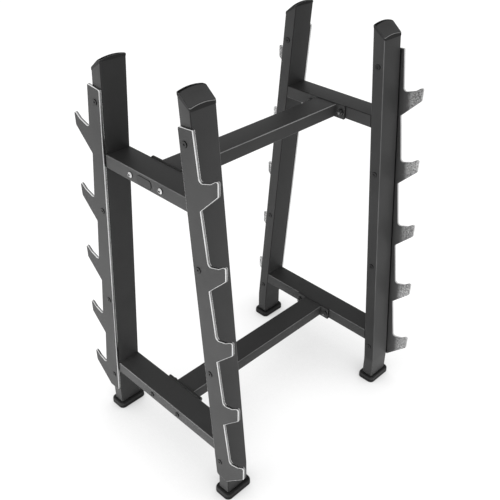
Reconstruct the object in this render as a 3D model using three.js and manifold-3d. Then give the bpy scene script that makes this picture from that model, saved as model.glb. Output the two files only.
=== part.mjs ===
// A free-standing barbell storage rack: two A-shaped end frames of rectangular steel tube joined
// by two bolted spreaders. A laser-cut plate with five hooks is screwed to the outer face of every
// leg, so ten bars lie across the two frames.
//
// Millimetres, +Z up, X along the stored bars, Y across the A of an end frame.
// The origin lies on the floor under the middle of the rack. Left is -X and front is -Y.
import * as THREE from 'three';
import { mergeVertices } from 'three/addons/utils/BufferGeometryUtils.js';
import Module from 'manifold-3d';

const wasm = await Module();
wasm.setup();

// Fits
const seatGap = 0.3;
const boreClearance = 0.5;
const cutOverrun = 5;

// Rectangular tube of the legs, crossmembers and spreaders
const tubeWidth = 100;
const tubeDepth = 50;
const tubeWall = 3;
const tubeCornerRadius = 3.5;

// End frames
const frameSpan = 1000;
const footSpread = 670;
const bendHeight = 87;
const bendRadius = 200;
const leanDegrees = 5;
const topCutDegrees = 34.5;
const legHeadroom = 219.5;
const upperBarDrop = 132.5;
const lowerBarDrop = 3.5;

// Rubber feet: heights above the floor, overhangs from the faces of the tube
const footHeight = 27;
const footOverhang = 15;
const footLedge = 7.5;
const footCornerRadius = 20;
const footShoulder = 13;
const footSoleRounding = 2.5;
const footPocketDepth = 15;

// Moulded top caps
const capOverhang = 1.5;
const capCornerRadius = 6;
const capOuterBand = 9;
const capTopDegrees = 39.4;
const capShelf = 12.5;
const capArchRise = 7;
const capPlugDepth = 22;
const capPlugWall = 2.5;
const capPlugCornerRadius = 2;

// Hook plates: heights from the seat height of the hook concerned, reaches from the leg's inner edge.
// The front edge draws in by the root taper at every hook, going up.
const plateThickness = 10;
const hookCount = 5;
const hookPitch = 280;
const lowestHookHeight = 190.5;
const lowestRootReach = 80;
const rootTaper = 2.1;
const plateTopReach = 64.5;
const plateTopRise = 150.5;
const plateTopBackRadius = 8;
const plateTopFrontRadius = 3;
const plateBottomDrop = 112.5;
const plateBottomBackRadius = 12;

// One hook: the seat climbs from the root to a kink, and the horn climbs steeper from there to its
// tip. The nose lies under the tip, and the underside falls from it to the throat at 45 degrees.
const seatDegrees = 18.5;
const kinkReach = 121.5;
const kinkRise = 10;
const kinkRadius = 6;
const hornRun = 19.5;
const hornRise = 18.5;
const hornRadius = 7;
const tipRun = 11.3;
const tipRise = 3;
const tipRadius = 6;
const noseSetback = 1;
const noseRadius = 7;
const throatDrop = 96;
const throatRadius = 3;
const rootRadius = 12;

// Screws that hold each hook plate: a socket screw and a sleeve nut through the leg
const fixingCount = 4;
const fixingTopRise = 103;
const fixingBottomDrop = 31;
const fixingDiameter = 10;
const fixingHeadDiameter = 22;
const fixingHeadHeight = 2.8;
const fixingHeadEdge = 1;
const fixingSocketFlats = 6;
const fixingSocketDepth = 4;

// Spreader end flanges and their bolts
const flangeThickness = 8;
const flangeLip = 3;
const flangeCornerRadius = 5;
const boltFromSpreader = 27;
const flangeBeyondBolt = 17;
const boltDiameter = 12;
const boltHeadDiameter = 21;
const boltHeadHeight = 6.6;
const boltHeadRim = 2;
const boltSocketFlats = 8;
const boltSocketDepth = 4;
const washerDiameter = 24;
const washerThickness = 2.5;
const nutFlats = 19;
const nutHexHeight = 8;
const nutDomeDiameter = 17;
const nutDomeHeight = 7.5;
const nutBoreDepth = 11;

// Facets: the turn of one facet of a rounded corner, and the sides of the round pieces
const cornerFacetDegrees = 30;
const hiddenFacetDegrees = 45;
const roundSides = 12;
const boreSides = 8;
const domeRings = 2;
const archFacets = 10;
const bendFacets = 2;

const lean = THREE.MathUtils.degToRad(leanDegrees);
const halfWidth = tubeWidth / 2;
const halfDepth = tubeDepth / 2;
const topHookHeight = lowestHookHeight + (hookCount - 1) * hookPitch;
const legRise = topHookHeight + legHeadroom;
const upperBarHeight = topHookHeight - upperBarDrop;
const lowerBarHeight = lowestHookHeight - lowerBarDrop;
const boltReach = halfWidth + boltFromSpreader;

// Distance of a leg's centreline from the middle of its end frame, at a height above the foot.
function legCentre(height) {
  return footSpread / 2 - Math.max(0, height - bendHeight) * Math.tan(lean);
}

// Distance of the straight line of a leg's inner edge from the middle of its end frame.
function innerEdge(height) {
  return footSpread / 2 - (height - bendHeight) * Math.tan(lean) - halfDepth / Math.cos(lean);
}

// Rounds every corner { x, y, r } of a closed outline.
function rounded(corners, facetDegrees = cornerFacetDegrees) {
  const points = [];
  corners.forEach((corner, index) => {
    const at = new THREE.Vector2(corner.x, corner.y);
    const before = corners[(index + corners.length - 1) % corners.length];
    const after = corners[(index + 1) % corners.length];
    const back = new THREE.Vector2(before.x, before.y).sub(at);
    const ahead = new THREE.Vector2(after.x, after.y).sub(at);
    const room = Math.min(back.length(), ahead.length()) / 2;
    back.normalize();
    ahead.normalize();
    const opening = Math.acos(THREE.MathUtils.clamp(back.dot(ahead), -1, 1));
    const radius = Math.min(corner.r, room * Math.tan(opening / 2));
    if (radius <= 0) {
      points.push(at);
      return;
    }
    const centre = back.clone().add(ahead).normalize();
    centre.multiplyScalar(radius / Math.sin(opening / 2)).add(at);
    const first = back.clone().multiplyScalar(radius / Math.tan(opening / 2)).add(at).sub(centre);
    const last = ahead.clone().multiplyScalar(radius / Math.tan(opening / 2)).add(at).sub(centre);
    const turn = Math.atan2(first.cross(last), first.dot(last));
    const facets = Math.max(1, Math.round(THREE.MathUtils.radToDeg(Math.abs(turn)) / facetDegrees));
    for (let k = 0; k <= facets; k += 1) {
      points.push(first.clone().rotateAround(new THREE.Vector2(), (turn * k) / facets).add(centre));
    }
  });
  return points;
}

function rectangle(width, height, r, facetDegrees = cornerFacetDegrees) {
  const x = width / 2;
  const y = height / 2;
  return rounded([{ x: -x, y: -y, r }, { x, y: -y, r }, { x, y, r }, { x: -x, y, r }], facetDegrees);
}

function tubeSection(width, height) {
  const shape = new THREE.Shape(rectangle(width, height, tubeCornerRadius));
  const inside = 2 * tubeWall;
  const corner = Math.max(0, tubeCornerRadius - tubeWall);
  shape.holes.push(new THREE.Path(rectangle(width - inside, height - inside, corner, hiddenFacetDegrees)));
  return shape;
}

// Carries a flat section through a list of stations, each of which places a point of the section.
function sweep(shape, stations) {
  const last = stations.length - 1;
  const geometry = new THREE.ExtrudeGeometry(shape, { depth: 1, steps: last, bevelEnabled: false });
  const position = geometry.getAttribute('position');
  for (let i = 0; i < position.count; i += 1) {
    const place = stations[Math.round(position.getZ(i) * last)];
    const [x, y, z] = place(position.getX(i), position.getY(i));
    position.setXYZ(i, x, y, z);
  }
  return geometry;
}

// Extrudes an outline drawn in Y and Z along X, centred on X = 0.
function slab(shape, thickness) {
  const geometry = new THREE.ExtrudeGeometry(shape, { depth: thickness, bevelEnabled: false });
  const [x, y, z] = [new THREE.Vector3(1, 0, 0), new THREE.Vector3(0, 1, 0), new THREE.Vector3(0, 0, 1)];
  geometry.applyMatrix4(new THREE.Matrix4().makeBasis(y, z, x));
  return geometry.translate(-thickness / 2, 0, 0);
}

// A round or hexagonal bar along X, from one X to another.
function barX(radius, from, to, y, z, sides) {
  const geometry = new THREE.CylinderGeometry(radius, radius, to - from, sides);
  return geometry.rotateZ(-Math.PI / 2).translate((from + to) / 2, y, z);
}

// A bore along X. Its flat sides keep the full radius clear.
function boreX(radius, from, to, y, z) {
  return barX(radius / Math.cos(Math.PI / boreSides), from, to, y, z, boreSides);
}

// Turns a profile of radii and heights round the X axis.
function turnX(profile) {
  const points = profile.map(([radius, height]) => new THREE.Vector2(radius, height));
  return new THREE.LatheGeometry(points, roundSides).rotateZ(-Math.PI / 2);
}

function hexRadius(flats) {
  return flats / (2 * Math.cos(Math.PI / 6));
}

function solidOf(geometry) {
  const bare = geometry.clone();
  bare.deleteAttribute('normal');
  bare.deleteAttribute('uv');
  const merged = mergeVertices(bare);
  const vertProperties = merged.getAttribute('position').array;
  const triVerts = new Uint32Array(merged.index.array);
  return new wasm.Manifold(new wasm.Mesh({ numProp: 3, vertProperties, triVerts }));
}

function geometryOf(solid) {
  const mesh = solid.getMesh();
  const indexed = new THREE.BufferGeometry();
  indexed.setAttribute('position', new THREE.BufferAttribute(new Float32Array(mesh.vertProperties), 3));
  indexed.setIndex(new THREE.BufferAttribute(new Uint32Array(mesh.triVerts), 1));
  const geometry = indexed.toNonIndexed();
  geometry.computeVertexNormals();
  return geometry;
}

// Cuts the given pieces out of a body.
function cut(body, tools) {
  return geometryOf(tools.reduce((solid, tool) => solid.subtract(solidOf(tool)), solidOf(body)));
}

const fixingHeights = Array.from({ length: fixingCount }, (_, k) => {
  const top = topHookHeight + fixingTopRise;
  const bottom = lowestHookHeight - fixingBottomDrop;
  return top - ((top - bottom) * k) / (fixingCount - 1);
});
const fixingBore = fixingDiameter / 2 + boreClearance;
const boltBore = boltDiameter / 2 + boreClearance;

// Leg: a rectangular tube that stands upright in its foot, bends inward and ends in a sloped cut.
// Drawn for the front leg, centred on X = 0, with heights above the top of the foot.
const topCutSlope = Math.tan(THREE.MathUtils.degToRad(topCutDegrees) + lean);

function makeLeg() {
  const foot = -legCentre(0);
  const bendStart = bendHeight - bendRadius * Math.tan(lean / 2);
  const stations = [(x, v) => [x, foot + v, seatGap - footPocketDepth]];
  for (let k = 0; k <= bendFacets; k += 1) {
    const turn = (lean * k) / bendFacets;
    const y = foot + bendRadius * (1 - Math.cos(turn));
    const z = bendStart + bendRadius * Math.sin(turn);
    stations.push((x, v) => [x, y + v * Math.cos(turn), z - v * Math.sin(turn)]);
  }
  const top = -legCentre(legRise);
  stations.push((x, v) => {
    const s = v * topCutSlope;
    const y = top + v * Math.cos(lean) + s * Math.sin(lean);
    return [x, y, legRise - v * Math.sin(lean) + s * Math.cos(lean)];
  });
  const reach = halfWidth + cutOverrun;
  const bores = fixingHeights.map((z) => boreX(fixingBore, -reach, reach, -legCentre(z), z));
  return cut(sweep(tubeSection(tubeWidth, tubeDepth), stations), bores);
}

// Cap: drawn along the axis of the leg, with Y across the leg towards its inner side.
function makeCap() {
  const halfOver = halfDepth + capOverhang;
  const seat = seatGap / Math.cos(Math.atan(topCutSlope));
  const above = (height) => (x, v) => [x, v, v * topCutSlope + height];
  const outline = rectangle(tubeWidth + 2 * capOverhang, tubeDepth + 2 * capOverhang, capCornerRadius);
  const column = sweep(new THREE.Shape(outline), [above(seat), above(seat + 2 * tubeDepth)]);

  const slope = Math.tan(THREE.MathUtils.degToRad(capTopDegrees) + lean);
  const edge = seat + capOuterBand - halfOver * topCutSlope;
  const crestAt = halfOver - capShelf;
  const crest = edge + (crestAt + halfOver) * slope;
  const halfArch = halfWidth + capOverhang;
  const archRadius = (halfArch ** 2 + capArchRise ** 2) / (2 * capArchRise);
  const arch = [
    new THREE.Vector2(-halfArch - cutOverrun, -tubeWidth),
    new THREE.Vector2(halfArch + cutOverrun, -tubeWidth),
    new THREE.Vector2(halfArch + cutOverrun, 0),
  ];
  for (let k = 0; k <= archFacets; k += 1) {
    const x = halfArch * (1 - (2 * k) / archFacets);
    arch.push(new THREE.Vector2(x, Math.sqrt(archRadius ** 2 - x ** 2) - archRadius + capArchRise));
  }
  arch.push(new THREE.Vector2(-halfArch - cutOverrun, 0));
  const roof = (tilt) => {
    const at = (y) => (x, h) => [x, y, crest + (y - crestAt) * tilt + h];
    return sweep(new THREE.Shape(arch), [at(tubeDepth), at(-tubeDepth)]);
  };
  const head = solidOf(column).intersect(solidOf(roof(slope))).intersect(solidOf(roof(Math.tan(lean))));

  const bore = tubeWall + seatGap;
  const outer = rectangle(tubeWidth - 2 * bore, tubeDepth - 2 * bore, capPlugCornerRadius);
  const plug = new THREE.Shape(outer);
  const hollow = 2 * (bore + capPlugWall);
  plug.holes.push(new THREE.Path(rectangle(tubeWidth - hollow, tubeDepth - hollow, 0)));
  const skirt = sweep(plug, [above(-capPlugDepth), above(seat + capOuterBand / 2)]);
  return geometryOf(head.add(solidOf(skirt)));
}

// Foot: a moulded rubber block with a rounded shoulder and a pocket for the end of the leg.
function makeFoot() {
  const spread = 2 * footOverhang;
  const outline = rectangle(tubeWidth + spread, tubeDepth + spread, footCornerRadius);
  const coreX = halfWidth + footOverhang - footCornerRadius;
  const coreY = halfDepth + footOverhang - footCornerRadius;
  // Draws the outline in evenly, each point towards the centre of its corner.
  const ring = (inset, z) => (x, y) => {
    const centreX = THREE.MathUtils.clamp(x, -coreX, coreX);
    const centreY = THREE.MathUtils.clamp(y, -coreY, coreY);
    const keep = 1 - inset / Math.hypot(x - centreX, y - centreY);
    return [centreX + (x - centreX) * keep, centreY + (y - centreY) * keep, z];
  };
  const rings = [];
  const turns = [0, Math.PI / 4, Math.PI / 2];
  turns.forEach((turn) => {
    const inset = footSoleRounding * (1 - Math.sin(turn));
    rings.push(ring(inset, footSoleRounding * (1 - Math.cos(turn)) - footHeight));
  });
  turns.forEach((turn) => {
    const inset = (footOverhang - footLedge) * (1 - Math.cos(turn));
    rings.push(ring(inset, footShoulder * Math.sin(turn) - footShoulder));
  });
  const body = sweep(new THREE.Shape(outline), rings);
  const pocketRadius = tubeCornerRadius + boreClearance;
  const pocket = new THREE.Shape(
    rectangle(tubeWidth + 2 * boreClearance, tubeDepth + 2 * boreClearance, pocketRadius),
  );
  const level = (z) => (x, y) => [x, y, z];
  return cut(body, [sweep(pocket, [level(-footPocketDepth), level(cutOverrun)])]);
}

// Hook plate: one outline with five hooks, its back edge flush with the inner edge of the leg.
// Drawn for the front leg, outward being -Y, with heights above the top of the foot.
function makeHookPlate() {
  const corners = [];
  const add = (outward, z, r) => corners.push({ x: -outward, y: z, r });
  const topZ = topHookHeight + plateTopRise;
  add(innerEdge(topZ), topZ, plateTopBackRadius);
  const topFrontZ = topZ + plateTopReach * Math.sin(lean);
  add(innerEdge(topZ) + plateTopReach * Math.cos(lean), topFrontZ, plateTopFrontRadius);
  const climb = Math.tan(THREE.MathUtils.degToRad(seatDegrees));
  const hornReach = kinkReach + hornRun;
  const tipReach = hornReach + tipRun;
  const noseReach = tipReach - noseSetback;
  for (let k = hookCount - 1; k >= 0; k -= 1) {
    const z = lowestHookHeight + k * hookPitch;
    const edge = innerEdge(z);
    const rootReach = lowestRootReach - k * rootTaper;
    const root = edge + rootReach;
    add(root, z + kinkRise - (kinkReach - rootReach) * climb, rootRadius);
    add(edge + kinkReach, z + kinkRise, kinkRadius);
    add(edge + hornReach, z + kinkRise + hornRise, hornRadius);
    add(edge + tipReach, z + kinkRise + hornRise + tipRise, tipRadius);
    add(edge + noseReach, z - throatDrop + (noseReach - rootReach), noseRadius);
    if (k > 0) {
      add(root, z - throatDrop, throatRadius);
    } else {
      const bottomZ = z - plateBottomDrop;
      add(root - (plateBottomDrop - throatDrop), bottomZ, throatRadius);
      add(innerEdge(bottomZ), bottomZ, plateBottomBackRadius);
    }
  }
  const reach = plateThickness / 2 + cutOverrun;
  const bores = fixingHeights.map((z) => boreX(fixingBore, -reach, reach, -legCentre(z), z));
  return cut(slab(new THREE.Shape(rounded(corners)), plateThickness), bores);
}

// Crossmember: a tube whose ends are cut to the lean of the two legs, with bores for two bolts.
function makeCrossmember(underside) {
  const middle = underside + halfDepth;
  const gap = seatGap / Math.cos(lean);
  const end = (side) => (x, h) => [x, side * (innerEdge(middle + h) - gap), middle + h];
  const reach = halfWidth + cutOverrun;
  const bores = [-boltReach, boltReach].map((y) => boreX(boltBore, -reach, reach, y, middle));
  return cut(sweep(tubeSection(tubeWidth, tubeDepth), [end(1), end(-1)]), bores);
}

// Flange welded across the end of a spreader, and the spreader itself.
function makeFlange() {
  const width = 2 * (boltReach + flangeBeyondBolt);
  const outline = rectangle(width, tubeDepth + 2 * flangeLip, flangeCornerRadius, hiddenFacetDegrees);
  const reach = flangeThickness / 2 + cutOverrun;
  const bores = [-boltReach, boltReach].map((y) => boreX(boltBore, -reach, reach, y, 0));
  return cut(slab(new THREE.Shape(outline), flangeThickness), bores);
}

const flangeSeat = halfWidth + seatGap;
const spreaderSeat = flangeSeat + flangeThickness + seatGap;

function makeSpreader() {
  const length = frameSpan - tubeWidth - 2 * spreaderSeat;
  return geometryOf(solidOf(slab(tubeSection(tubeWidth, tubeDepth), length)));
}

// Screw and sleeve nut through plate and leg, X = 0 being the middle of the leg.
function makePlateFixing() {
  const outer = -(halfWidth + 2 * seatGap + plateThickness);
  const inner = halfWidth + seatGap;
  const head = fixingHeadDiameter / 2;
  const shank = fixingDiameter / 2;
  const body = turnX([
    [0, outer - fixingHeadHeight],
    [head - fixingHeadEdge, outer - fixingHeadHeight],
    [head, outer - fixingHeadHeight + fixingHeadEdge],
    [head, outer],
    [shank, outer],
    [shank, inner],
    [head, inner],
    [head, inner + fixingHeadHeight - fixingHeadEdge],
    [head - fixingHeadEdge, inner + fixingHeadHeight],
    [0, inner + fixingHeadHeight],
  ]);
  const socket = hexRadius(fixingSocketFlats);
  const left = outer - fixingHeadHeight;
  const right = inner + fixingHeadHeight;
  return cut(body, [
    barX(socket, left - cutOverrun, left + fixingSocketDepth, 0, 0, 6),
    barX(socket, right - fixingSocketDepth, right + cutOverrun, 0, 0, 6),
  ]);
}

// Button-head bolt through crossmember, flange and nut, X = 0 being the middle of the crossmember.
const nutSeat = flangeSeat + flangeThickness + seatGap;

function domeProfile(radius, base, height) {
  return Array.from({ length: domeRings }, (_, k) => {
    const turn = (k * Math.PI) / (2 * domeRings);
    return [radius * Math.cos(turn), base + height * Math.sin(turn)];
  });
}

function makeBolt() {
  const seat = -(halfWidth + seatGap);
  const rim = seat - boltHeadRim;
  const dome = domeProfile(boltHeadDiameter / 2, rim, boltHeadRim - boltHeadHeight).reverse();
  const shank = boltDiameter / 2;
  const tip = nutSeat + nutBoreDepth - seatGap;
  const body = turnX([
    [0, seat - boltHeadHeight],
    ...dome,
    [boltHeadDiameter / 2, seat],
    [shank, seat],
    [shank, tip],
    [0, tip],
  ]);
  const face = seat - boltHeadHeight;
  return cut(body, [
    barX(hexRadius(boltSocketFlats), face - cutOverrun, face + boltSocketDepth, 0, 0, 6),
  ]);
}

// Cap nut with its washer.
function makeNut() {
  const top = washerThickness + nutHexHeight;
  const dome = turnX([
    [0, 0],
    [washerDiameter / 2, 0],
    [washerDiameter / 2, washerThickness],
    [nutDomeDiameter / 2, washerThickness],
    ...domeProfile(nutDomeDiameter / 2, top, nutDomeHeight),
    [0, top + nutDomeHeight],
  ]);
  const hexagon = barX(hexRadius(nutFlats), washerThickness / 2, top, 0, 0, 6);
  const bore = boreX(boltDiameter / 2 + seatGap, -cutOverrun, nutBoreDepth, 0, 0);
  return geometryOf(solidOf(dome).add(solidOf(hexagon)).subtract(solidOf(bore)));
}

const coatedTube = { color: 0x444444, roughness: 0.55, metalness: 0.35 };
const cutPlate = { color: 0x484848, roughness: 0.45, metalness: 0.6 };
const blackSteel = { color: 0x292929, roughness: 0.4, metalness: 0.7 };
const zincSteel = { color: 0xcbcbcb, roughness: 0.3, metalness: 1 };
const blackPlastic = { color: 0x3c3c3c, roughness: 0.5, metalness: 0 };
const blackRubber = { color: 0x1f1f1f, roughness: 0.8, metalness: 0 };

function piece(name, geometry, look, x = 0, y = 0, z = 0) {
  const mesh = new THREE.Mesh(geometry, new THREE.MeshStandardMaterial(look));
  mesh.name = name;
  mesh.position.set(x, y, z);
  return mesh;
}

const shapes = {
  leg: makeLeg(),
  cap: makeCap(),
  foot: makeFoot(),
  plate: makeHookPlate(),
  upperCrossmember: makeCrossmember(upperBarHeight),
  lowerCrossmember: makeCrossmember(lowerBarHeight),
  flange: makeFlange(),
  spreader: makeSpreader(),
  fixing: makePlateFixing(),
  bolt: makeBolt(),
  nut: makeNut(),
};
const tiers = [
  { name: 'upper', height: upperBarHeight + halfDepth, crossmember: shapes.upperCrossmember },
  { name: 'lower', height: lowerBarHeight + halfDepth, crossmember: shapes.lowerCrossmember },
];

// One leg with its foot and cap. The outer side of the end frame is -X for the front leg.
function makeLegGroup(name, outerSide) {
  const group = new THREE.Group();
  group.add(piece(`${name}_upright`, shapes.leg, coatedTube));
  group.add(piece(`${name}_foot`, shapes.foot, blackRubber, 0, -legCentre(0)));
  const cap = piece(`${name}_cap`, shapes.cap, blackPlastic, 0, -legCentre(legRise), legRise);
  cap.rotation.x = -lean;
  group.add(cap);
  const plateOut = halfWidth + seatGap + plateThickness / 2;
  group.add(piece(`${name}_hook_plate`, shapes.plate, cutPlate, outerSide * plateOut));
  return group;
}

// One end frame, its outer side towards -X.
function makeEndFrame(side, near, far) {
  const group = new THREE.Group();
  const nearLeg = makeLegGroup(`${side}_${near}`, -1);
  const farLeg = makeLegGroup(`${side}_${far}`, 1);
  farLeg.rotation.z = Math.PI;
  group.add(nearLeg, farLeg);
  [[near, -1], [far, 1]].forEach(([end, direction]) => {
    fixingHeights.forEach((height, k) => {
      const name = `${side}_${end}_plate_fixing_${k + 1}`;
      group.add(piece(name, shapes.fixing, blackSteel, 0, direction * legCentre(height), height));
    });
  });
  tiers.forEach((tier) => {
    group.add(piece(`${side}_${tier.name}_crossmember`, tier.crossmember, coatedTube));
    const flangeAt = flangeSeat + flangeThickness / 2;
    group.add(piece(`${side}_${tier.name}_flange`, shapes.flange, coatedTube, flangeAt, 0, tier.height));
    const shiny = side === 'left' && tier.name === 'upper';
    [[near, -boltReach], [far, boltReach]].forEach(([end, y]) => {
      const name = `${side}_${tier.name}_${end}`;
      const boltLook = shiny ? zincSteel : blackSteel;
      group.add(piece(`${name}_bolt`, shapes.bolt, boltLook, 0, y, tier.height));
      group.add(piece(`${name}_nut`, shapes.nut, blackSteel, nutSeat, y, tier.height));
    });
  });
  return group;
}

const rack = new THREE.Group();
const frameOffset = (frameSpan - tubeWidth) / 2;
const leftFrame = makeEndFrame('left', 'front', 'back');
leftFrame.position.set(-frameOffset, 0, footHeight);
const rightFrame = makeEndFrame('right', 'back', 'front');
rightFrame.position.set(frameOffset, 0, footHeight);
rightFrame.rotation.z = Math.PI;
rack.add(leftFrame, rightFrame);
tiers.forEach((tier) => {
  rack.add(piece(`${tier.name}_spreader`, shapes.spreader, coatedTube, 0, 0, footHeight + tier.height));
});

export default rack;
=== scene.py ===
import math

import bmesh
import bpy
from mathutils import Matrix, Vector


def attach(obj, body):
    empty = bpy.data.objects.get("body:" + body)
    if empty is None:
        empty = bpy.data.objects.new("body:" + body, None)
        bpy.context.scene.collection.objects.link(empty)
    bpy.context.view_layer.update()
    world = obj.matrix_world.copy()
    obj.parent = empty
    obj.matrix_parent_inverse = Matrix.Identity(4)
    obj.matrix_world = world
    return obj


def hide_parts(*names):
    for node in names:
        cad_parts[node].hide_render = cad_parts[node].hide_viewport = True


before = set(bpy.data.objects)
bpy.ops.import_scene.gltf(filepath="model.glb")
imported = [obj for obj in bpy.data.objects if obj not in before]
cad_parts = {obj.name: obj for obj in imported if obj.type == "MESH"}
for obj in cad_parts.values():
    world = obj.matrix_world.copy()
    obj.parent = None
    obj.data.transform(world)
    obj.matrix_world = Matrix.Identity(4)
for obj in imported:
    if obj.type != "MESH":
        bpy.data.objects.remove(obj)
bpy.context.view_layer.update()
scene = bpy.context.scene
scene.view_settings.view_transform = "Standard"

# Lengths of the rack are in millimetres, as the solids have them. Those in materials, stage, lamps and camera
# are in metres. Heights in an end frame start on top of its feet. Each point of a skin carries a mark: above
# zero, how far it turns to its material's edge grey, which is wear and painted highlight, and painted shade
# round the badge; below zero, how deep the painted shade lies there.
MM = 0.001
GAP = 0.3
SPAN, SPREAD = 1000.0, 670.0
SIDES = {"left": -1, "right": 1}
ENDS = {"front": -1, "back": 1}

# Tubes
TUBE_W, TUBE_D, WALL, TUBE_R = 100.0, 50.0, 3.0, 3.5
HALF_W, HALF_D = TUBE_W / 2, TUBE_D / 2
LEAN = math.radians(5)
BEND, BEND_R, BEND_STEPS = 87.0, 200.0, 6
TOP_CUT = math.radians(34.5)
CUT_SLOPE = math.tan(TOP_CUT + LEAN)
HOOKS, PITCH, LOW_HOOK = 5, 280.0, 190.5
TOP_HOOK = LOW_HOOK + (HOOKS - 1) * PITCH
LEG_ABOVE, UPPER_BAR_BELOW, LOWER_BAR_BELOW = 219.5, 132.5, 3.5
RISE = TOP_HOOK + LEG_ABOVE
UPPER_BAR, LOWER_BAR = TOP_HOOK - UPPER_BAR_BELOW, LOW_HOOK - LOWER_BAR_BELOW
CROSS_SHADE, SPREADER_SHADE = 2.5, 2.0
FRAME_X = (SPAN - TUBE_W) / 2

# Feet
FOOT_H, FOOT_OVER, FOOT_LEDGE, FOOT_R = 27.0, 15.0, 7.5, 20.0
FOOT_SHOULDER, FOOT_SOLE = 13.0, 2.5
POCKET, POCKET_CLEAR, POCKET_BEVEL = 15.0, 0.5, 0.8

# Caps
CAP_OVER, CAP_R, CAP_BAND, CAP_SHELF, CAP_RISE = 1.5, 6.0, 9.0, 12.5, 7.0
CAP_TOP = math.radians(39.4)
CAP_SOFT, CAP_UNDER, CREST_SOFT, CAP_MIN_R, ROOF_PARTS = 1.4, 0.5, 0.9, 0.4, 16
PLUG_DEPTH, PLUG_WALL, PLUG_R, PLUG_HOLLOW_R, PLUG_ROOF = 22.0, 2.5, 1.5, 0.6, 1.5
CAP_W, CAP_D = TUBE_W + 2 * CAP_OVER, TUBE_D + 2 * CAP_OVER
CAP_SEAT = GAP / math.cos(math.atan(CUT_SLOPE))
ROOF_SLOPE = math.tan(CAP_TOP + LEAN)
CREST_AT = CAP_D / 2 - CAP_SHELF
CREST = CAP_SEAT + CAP_BAND - CAP_D / 2 * CUT_SLOPE + (CREST_AT + CAP_D / 2) * ROOF_SLOPE
ARCH_R = ((CAP_W / 2) ** 2 + CAP_RISE ** 2) / (2 * CAP_RISE)
ROOF_RINGS = (2.5, 4, 6, 8, 10, 11.2, 12, 12.5, 13, 13.8, 15, 17.5, 20, 23, 26)

# Hook plates. The seats lie 5 mm and the horns 1.5 mm higher than in the solids, as the photo has them.
PLATE_T, PLATE_BEVEL, PLATE_BORDER, LIT_STRIP_DEPTH = 10.0, 1.4, 3.0, 4.0
PLATE_ABOVE, PLATE_BELOW, PLATE_HEAD = 150.5, 112.5, 64.5
LOW_ROOT, ROOT_STEP = 80.0, 2.1
KINK, KINK_RISE, SEAT_SLOPE = 121.5, 15.0, math.radians(18.5)
HORN_IN, HORN_IN_RISE, HORN_OUT, HORN_OUT_RISE = 141.0, 30.0, 152.3, 33.0
NOSE, THROAT_DROP = 151.3, 96.0
ROOT_R, KINK_R, HORN_IN_R, HORN_OUT_R, NOSE_R, THROAT_R = 12.0, 6.0, 7.0, 6.0, 7.0, 3.0
HEAD_INNER_R, HEAD_OUTER_R, HEEL_R = 8.0, 3.0, 12.0

# Plate fixings
FIXINGS_ABOVE, FIXINGS_BELOW, FIXING_COUNT = 103.0, 31.0, 4
FIXINGS_SPAN = TOP_HOOK - LOW_HOOK + FIXINGS_ABOVE + FIXINGS_BELOW
FIXINGS = [TOP_HOOK + FIXINGS_ABOVE - FIXINGS_SPAN * k / (FIXING_COUNT - 1) for k in range(FIXING_COUNT)]
SCREW_R, SCREW_HEAD_R, SCREW_HEAD_H, SCREW_RIM, SCREW_RING, SCREW_SOCKET = 5.0, 11.0, 2.8, 1.1, 3.2, 6.0

# Flanges, bolts and nuts
FLANGE_T, FLANGE_OVER, FLANGE_R, FLANGE_BEVEL, FLANGE_BORDER = 8.0, 3.0, 5.0, 0.8, 2.0
FLANGE_SEAT = HALF_W + GAP
NUT_SEAT = FLANGE_SEAT + FLANGE_T + GAP
BOLT_Y, BOLT_TO_EDGE = 77.0, 17.0
BOLT_R, BOLT_HEAD_R, BOLT_FACE_R, BOLT_HEAD_H, BOLT_RIM, BOLT_TIP = 6.0, 10.5, 5.6, 6.6, 2.0, 1.0
BOLT_DOME_DEGREES = (48, 36, 24, 12, 0)
BOLT_SOCKET, SOCKET_DEPTH, SOCKET_CONE, SOCKET_MOUTH = 8.0, 4.0, 1.2, 0.4
WASHER_R, WASHER_T, WASHER_EASE = 12.0, 2.5, 0.2
NUT_FLATS, NUT_H, NUT_DEPTH, NUT_DOME_R, NUT_DOME_H = 19.0, 10.5, 11.0, 8.5, 7.5
NUT_FOOT_R, NUT_FOOT_CAP, NUT_FOOT_EASE, NUT_FOOT_H = 9.4, 10.3, 0.1, 0.8
NUT_TOP_R, NUT_TOP_CAP, NUT_TOP_EASE, NUT_TOP_H = 9.2, 10.2, 0.3, 0.9
EASE, BORE_POINT, SOCKET_POINT = 0.3, 0.3, 0.2
ROUND = 48

# Welds and badge
WELD_HALF, WELD_STEPS, WELD_R = 44.0, 40, 2.2
SHORT_WELD_HALF, SHORT_WELD_STEPS, FLANGE_WELD_R = 19.0, 18, 1.9
WELD_IN, WELD_OUT, WELD_SIDES = 1.2, 0.2, 10
RIPPLES = ((0.10, 1.7, 0.0), (0.05, 0.61, 1.0))
TAPER_SHARE, TAPER_STEP = 0.35, 0.3
BADGE_W, BADGE_H, BADGE_R, BADGE_T, BADGE_BEVEL, BADGE_BORDER = 74.0, 33.0, 13.0, 1.6, 0.5, 3.0
BADGE_GAP, BADGE_Y, BADGE_DROP = 0.1, 6.0, 1.0

# Degrees for each step of an arc, and how far in the middle of a soft edge lies, as a share of its radius
ARC_STEP, FINE_ARC_STEP, SOFT_SHARE = 11.25, 7.5, 0.293
# The least that a corner's two normals may have in common, the hair's breadth that keeps a test clear of
# rounding errors, and the distance in metres at which two points are one
MITRE_SHARE, HAIR, SAME_POINT = 0.2, 0.01, 1e-7


def leg_centre(z):
    """How far the axis of an upright is from the middle of the rack at height z."""
    return SPREAD / 2 - max(0.0, z - BEND) * math.tan(LEAN)


def inner_edge(z):
    """How far the inner face of an upright, drawn on straight below its bend, is from the middle."""
    return SPREAD / 2 - (z - BEND) * math.tan(LEAN) - HALF_D / math.cos(LEAN)


# Outlines

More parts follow.
